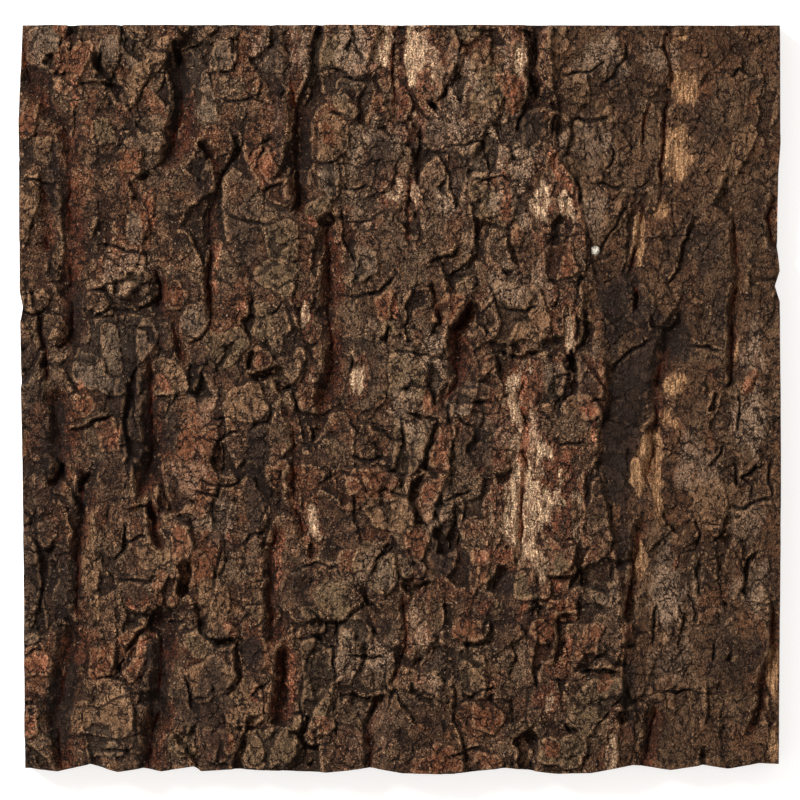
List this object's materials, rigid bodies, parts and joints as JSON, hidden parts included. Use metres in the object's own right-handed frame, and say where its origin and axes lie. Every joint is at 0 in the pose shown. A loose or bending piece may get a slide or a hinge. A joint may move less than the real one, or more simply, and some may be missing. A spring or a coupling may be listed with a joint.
{
  "type": "piece of furrowed bark",
  "caption": "Square-cut slab of thick, deeply furrowed cork-type bark with cracked, flaking scales; a natural display or mounting panel that lies on its flat inner face.",
  "frame": {"origin": "middle of the flat inner face that the piece lies on", "axes": "+X across the grain, +Y along the grain, towards the upper edge in the picture, +Z out of the weathered outer face"},
  "size_m": [0.3, 0.2946, 0.025],
  "materials": {
    "bark_outer": "dry, matt and rough, dark brown with rust, grey-brown and pale patches"
  },
  "bodies": {
    "root": {"bark": "bark_outer"}
  },
  "joints": []
}
